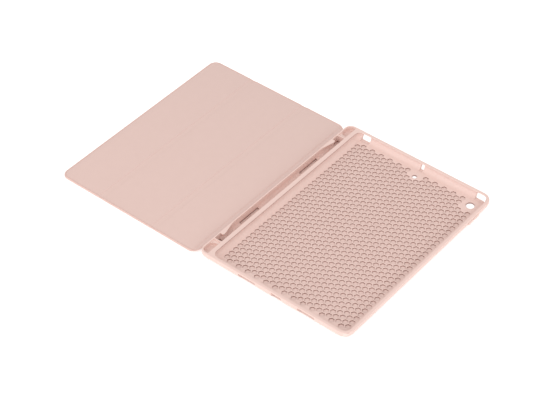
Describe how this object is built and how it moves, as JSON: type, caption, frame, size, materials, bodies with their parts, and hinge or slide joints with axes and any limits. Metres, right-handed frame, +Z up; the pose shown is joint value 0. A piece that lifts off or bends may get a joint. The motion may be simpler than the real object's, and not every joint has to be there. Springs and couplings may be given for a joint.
{
  "type": "tablet case",
  "caption": "Folio case for a tablet: soft moulded tray with a stylus channel, hinged by a leather spine to a folding panel cover that closes over the screen or props the tablet up.",
  "frame": {"origin": "middle of the open case, on the surface that it lies on", "axes": "+X from the cover's free edge to the tray's far side, +Y along the hinge to the end with the camera hole, +Z up out of the tray"},
  "size_m": [0.3906, 0.2568, 0.0104],
  "materials": {
    "tray_tpu": "matte moulded",
    "outer_leather": "fine grained",
    "microfibre": "short suede nap",
    "board": "plain",
    "magnet": "plated"
  },
  "bodies": {
    "tray": {"back_tray": "tray_tpu", "hinge_flap": "outer_leather", "tray_crease": "outer_leather"},
    "volume_up": {"volume_up_button": "tray_tpu"},
    "volume_down": {"volume_down_button": "tray_tpu"},
    "spine": {"spine_skin": "outer_leather", "spine_lining": "microfibre", "spine_crease": "outer_leather"},
    "inner_panel": {"inner_panel_skin": "outer_leather", "inner_panel_board": "board", "inner_panel_lining": "microfibre", "stand_magnets": "magnet", "inner_crease": "outer_leather"},
    "middle_panel": {"middle_panel_skin": "outer_leather", "middle_panel_board": "board", "middle_panel_lining": "microfibre", "outer_crease": "outer_leather"},
    "free_panel": {"free_panel_skin": "outer_leather", "free_panel_board": "board", "free_panel_lining": "microfibre", "closing_magnets": "magnet", "wake_magnets": "magnet"}
  },
  "joints": [
    {"name": "tray_hinge", "type": "hinge", "parent": "tray", "child": "spine", "pos_m": [0.0009, 0, 0.005], "axis": [0, 1, 0], "range_deg": [-55, 125]},
    {"name": "spine_hinge", "type": "hinge", "parent": "spine", "child": "inner_panel", "pos_m": [-0.00467, 0, 0.0011], "axis": [0, 1, 0], "range_deg": [-125, 55]},
    {"name": "inner_fold", "type": "hinge", "parent": "inner_panel", "child": "middle_panel", "pos_m": [-0.0617, 0, 0.0011], "axis": [0, -1, 0], "range_deg": [-125, 90]},
    {"name": "outer_fold", "type": "hinge", "parent": "middle_panel", "child": "free_panel", "pos_m": [-0.1362, 0, 0.0011], "axis": [0, -1, 0], "range_deg": [-125, 90]},
    {"name": "volume_up_press", "type": "slide", "parent": "tray", "child": "volume_up", "axis": [-1, 0, 0], "range_m": [0, 0.0005], "stiffness_N_per_m": 400},
    {"name": "volume_down_press", "type": "slide", "parent": "tray", "child": "volume_down", "axis": [-1, 0, 0], "range_m": [0, 0.0005], "stiffness_N_per_m": 400}
  ]
}
